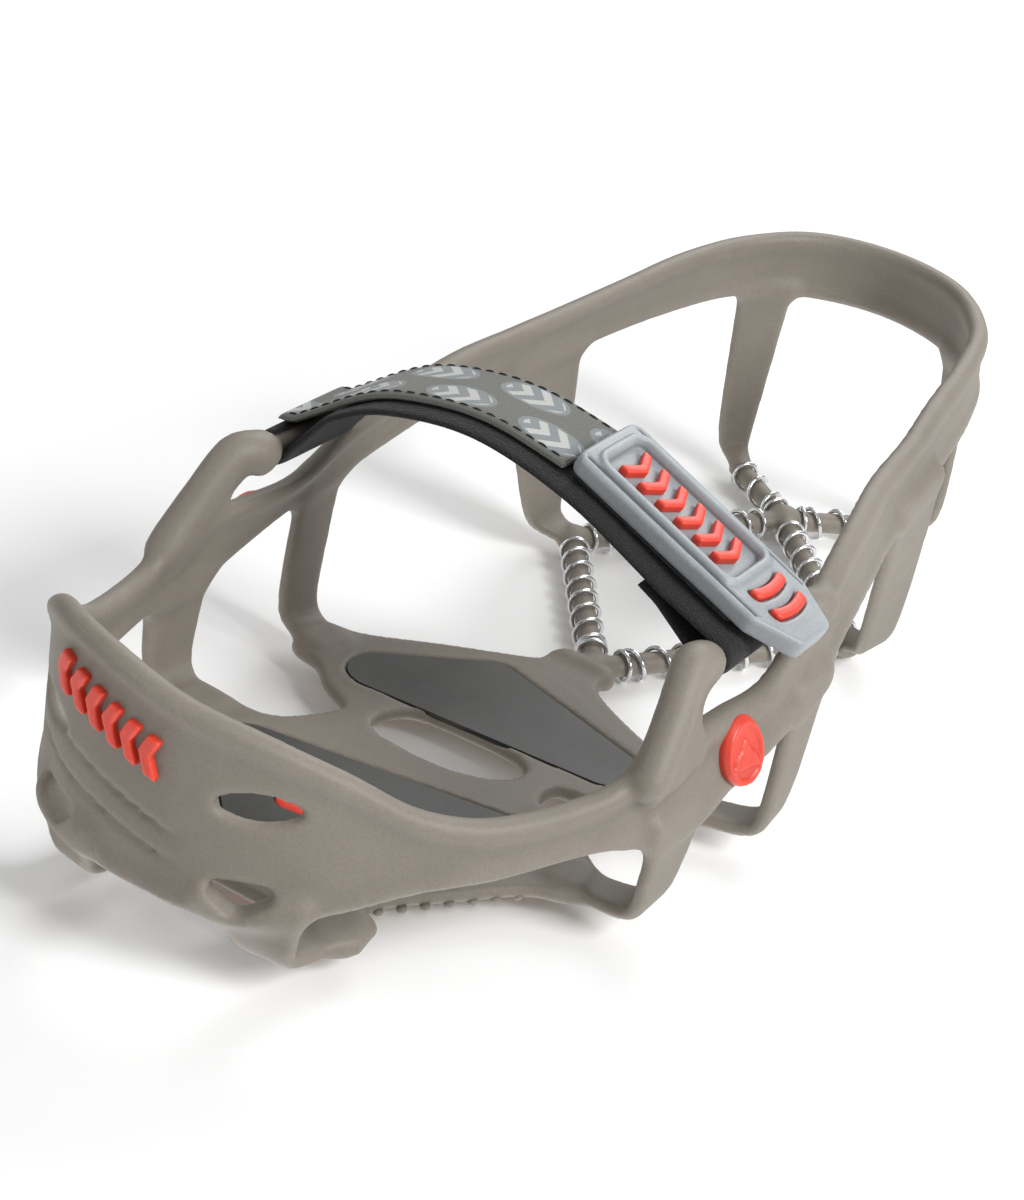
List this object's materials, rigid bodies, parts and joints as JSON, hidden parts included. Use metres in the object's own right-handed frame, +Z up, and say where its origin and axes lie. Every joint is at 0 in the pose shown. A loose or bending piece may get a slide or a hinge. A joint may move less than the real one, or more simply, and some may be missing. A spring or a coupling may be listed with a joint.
{
  "type": "shoe ice cleat",
  "caption": "Pull-on traction device for a left shoe: an elastomer harness with studs under the forefoot, wire coils under the heel and an instep strap.",
  "frame": {"origin": "on the ground under the middle of the bounding box", "axes": "+Z up, +Y towards the toe, +X towards the inner side of a left foot"},
  "size_m": [0.142, 0.3181, 0.0886],
  "materials": {
    "elastomer": "matt, finely textured",
    "stiff_nylon": "matt",
    "red_plastic": "satin",
    "collar_steel": "turned",
    "carbide": "polished tip",
    "coil_steel": "bright drawn wire",
    "black_webbing": "looped pile",
    "printed_webbing": "woven, printed",
    "grey_moulding": "satin",
    "hook_tape": "hooked pile",
    "red_rubber": "satin"
  },
  "bodies": {
    "harness": {"toe_band": "elastomer", "lateral_band": "elastomer", "medial_band": "elastomer", "heel_band": "elastomer", "lateral_strap_loop": "elastomer", "medial_strap_loop": "elastomer", "front_sole_plate": "elastomer", "rear_sole_plate": "elastomer", "toe_lateral_arm": "elastomer", "toe_medial_arm": "elastomer", "front_lateral_arm": "elastomer", "front_medial_arm": "elastomer", "rear_lateral_arm": "elastomer", "rear_medial_arm": "elastomer", "heel_lateral_web": "elastomer", "heel_medial_web": "elastomer", "heel_lateral_riser": "elastomer", "heel_medial_riser": "elastomer", "plate_hub": "elastomer", "lateral_hub": "elastomer", "medial_hub": "elastomer", "heel_hub": "elastomer", "cord_front_lateral": "elastomer", "cord_front_medial": "elastomer", "cord_rear_lateral": "elastomer", "cord_rear_medial": "elastomer", "cord_end_lateral": "elastomer", "cord_end_medial": "elastomer", "front_insert_plate": "stiff_nylon", "rear_insert_plate": "stiff_nylon", "grommet": "red_plastic", "front_stud_bosses": "red_plastic", "rear_stud_bosses": "red_plastic", "stud_collars": "collar_steel", "carbide_pins": "carbide", "coil_front_lateral": "coil_steel", "coil_front_medial": "coil_steel", "coil_rear_lateral": "coil_steel", "coil_rear_medial": "coil_steel", "coil_end_lateral": "coil_steel", "coil_end_medial": "coil_steel", "base_strap": "black_webbing", "toe_emblem": "red_rubber", "lateral_badge": "red_rubber", "medial_badge": "red_rubber"},
    "strap": {"upper_strap": "printed_webbing"},
    "tab": {"pull_tab": "grey_moulding", "hook_patch": "hook_tape", "tab_inlay": "red_rubber", "tab_grip_bars": "red_rubber"}
  },
  "joints": [
    {"name": "strap_peel", "type": "hinge", "parent": "harness", "child": "strap", "pos_m": [0.0592, 0.036, 0.062], "axis": [0, 1, 0], "range_deg": [0, 110]},
    {"name": "tab_lift", "type": "hinge", "parent": "strap", "child": "tab", "pos_m": [-0.0115, 0.036, 0.0841], "axis": [0, 1, 0], "range_deg": [0, 60]}
  ]
}
